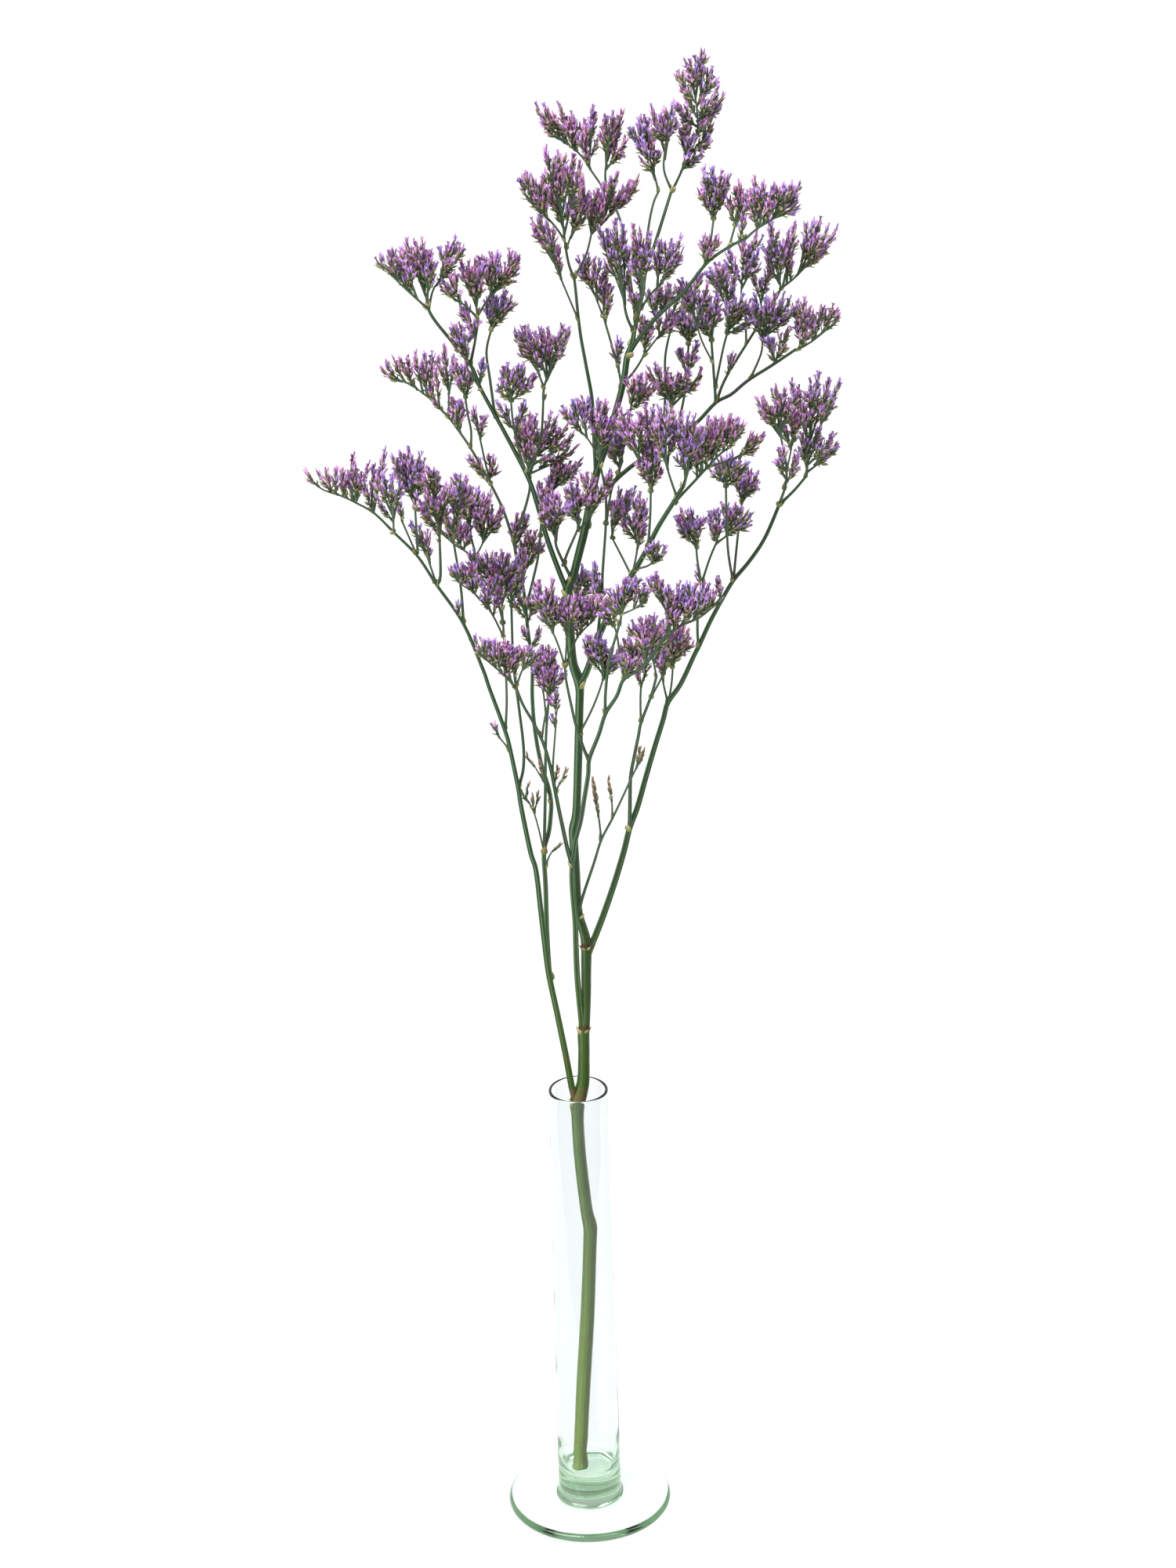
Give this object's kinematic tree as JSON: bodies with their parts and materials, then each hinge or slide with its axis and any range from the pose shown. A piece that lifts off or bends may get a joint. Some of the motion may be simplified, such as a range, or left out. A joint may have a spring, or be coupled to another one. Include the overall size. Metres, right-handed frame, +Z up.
{
  "type": "dried statice",
  "caption": "One cut branch of small papery violet flowers on thin forked green stems, standing in a slim clear glass bud vase with a flat round foot.",
  "frame": {"origin": "middle of the underside of the vase's foot, on the surface it stands on", "axes": "+Z up along the vase, -Y towards the side that the picture shows, +X to the right in it"},
  "size_m": [0.2188, 0.1222, 0.659],
  "materials": {
    "vase_glass": "clear pale green recycled glass, smooth and slightly wavy",
    "green_stems": "ridged grey-green stems with small brown papery scales at the nodes",
    "flower_heads": "dry papery flowers in violet, mauve and plum on green-brown scales"
  },
  "bodies": {
    "root": {"bud_vase": "vase_glass", "main_stem": "green_stems", "left_branch": "green_stems", "left_end_head": "flower_heads", "left_tall_head": "flower_heads", "left_inner_head": "flower_heads", "left_rising_head": "flower_heads", "low_left_fan": "flower_heads", "low_left_comb": "flower_heads", "second_left_branch": "green_stems", "second_left_end_comb": "flower_heads", "upper_round_head": "flower_heads", "front_right_branch": "green_stems", "front_left_branch": "green_stems", "front_left_comb": "flower_heads", "front_middle_head": "flower_heads", "olive_head": "flower_heads", "front_right_comb": "flower_heads", "right_branch": "green_stems", "right_end_head": "flower_heads", "right_end_tall_head": "flower_heads", "right_inner_branch": "green_stems", "right_inner_head": "flower_heads", "budded_twig": "green_stems", "middle_right_branch": "green_stems", "centre_head": "flower_heads", "big_head_left": "flower_heads", "big_head_middle": "flower_heads", "big_head_right": "flower_heads", "head_by_the_fork": "flower_heads", "upper_left_branch": "green_stems", "inner_upper_head": "flower_heads", "upper_left_end_head": "flower_heads", "upper_left_middle_head": "flower_heads", "upper_middle_branch": "green_stems", "upper_middle_left_head": "flower_heads", "upper_middle_right_head": "flower_heads", "small_middle_head": "flower_heads", "top_branch": "green_stems", "crown_head": "flower_heads", "top_left_head": "flower_heads", "top_right_plume": "flower_heads", "top_right_branch": "green_stems", "top_right_end_head": "flower_heads", "top_right_tall_head": "flower_heads", "right_upper_branch": "green_stems", "right_comb": "flower_heads", "right_fan": "flower_heads", "right_upper_head": "flower_heads", "right_middle_head": "flower_heads", "right_low_head": "flower_heads", "left_centre_head": "flower_heads", "low_fork_head": "flower_heads", "fork_side_head": "flower_heads", "upper_side_head": "flower_heads", "upper_inner_twig": "flower_heads"}
  },
  "joints": []
}
